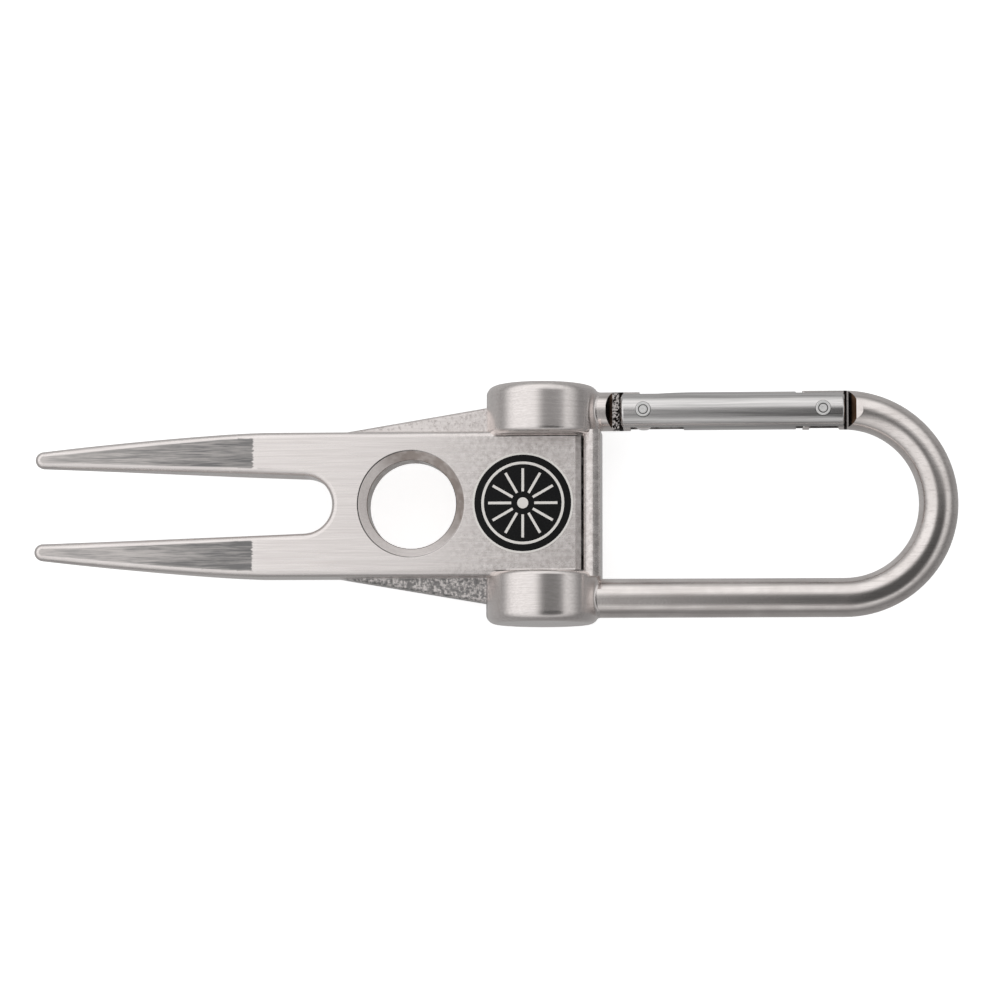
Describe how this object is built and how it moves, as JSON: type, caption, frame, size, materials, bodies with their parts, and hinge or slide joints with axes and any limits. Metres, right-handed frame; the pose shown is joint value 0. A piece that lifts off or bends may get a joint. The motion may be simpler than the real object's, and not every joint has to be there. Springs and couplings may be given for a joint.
{
  "type": "divot repair tool",
  "caption": "Pocket divot repair fork in satin nickel metal with a through hole, a round enamel emblem and a carabiner loop with a spring gate.",
  "frame": {"origin": "centre of the blade's through hole, halfway through the blade's thickness", "axes": "+X from the fork to the carabiner loop, +Y to the gate's side, +Z out of the emblem's face along the hole's axis"},
  "size_m": [0.0923, 0.0238, 0.0112],
  "materials": {
    "satin_nickel_casting": "satin nickel plate, brushed lengthwise",
    "satin_nickel_rod": "satin nickel plate on round rod",
    "emblem_metal": "polished",
    "black_enamel": "glossy black enamel",
    "brushed_gate": "brushed lengthwise",
    "rivet_steel": "formed heads, bright",
    "spring_steel": "plain drawn wire"
  },
  "bodies": {
    "frame": {"fork_casting": "satin_nickel_casting", "loop_rod": "satin_nickel_rod", "hinge_stub": "satin_nickel_rod", "emblem_disc": "emblem_metal", "enamel_fill": "black_enamel"},
    "gate": {"gate_tube": "brushed_gate", "hinge_rivet": "rivet_steel", "latch_pin": "rivet_steel", "gate_spring": "spring_steel"},
    "plunger": {"spring_plunger": "spring_steel"}
  },
  "joints": [
    {"name": "gate_hinge", "type": "hinge", "parent": "frame", "child": "gate", "pos_m": [0.0231, 0.00935, 0], "axis": [0, 0, 1], "range_deg": [-35, 0], "stiffness_Nm_per_rad": 0.01, "deforming": ["gate_spring"]},
    {"name": "plunger_slide", "type": "slide", "parent": "gate", "child": "plunger", "axis": [1, 0, 0], "range_m": [0, 0.00026]}
  ],
  "couplings": [
    {"joint": "plunger_slide", "follows": "gate_hinge", "m_per_rad": -0.00041}
  ]
}
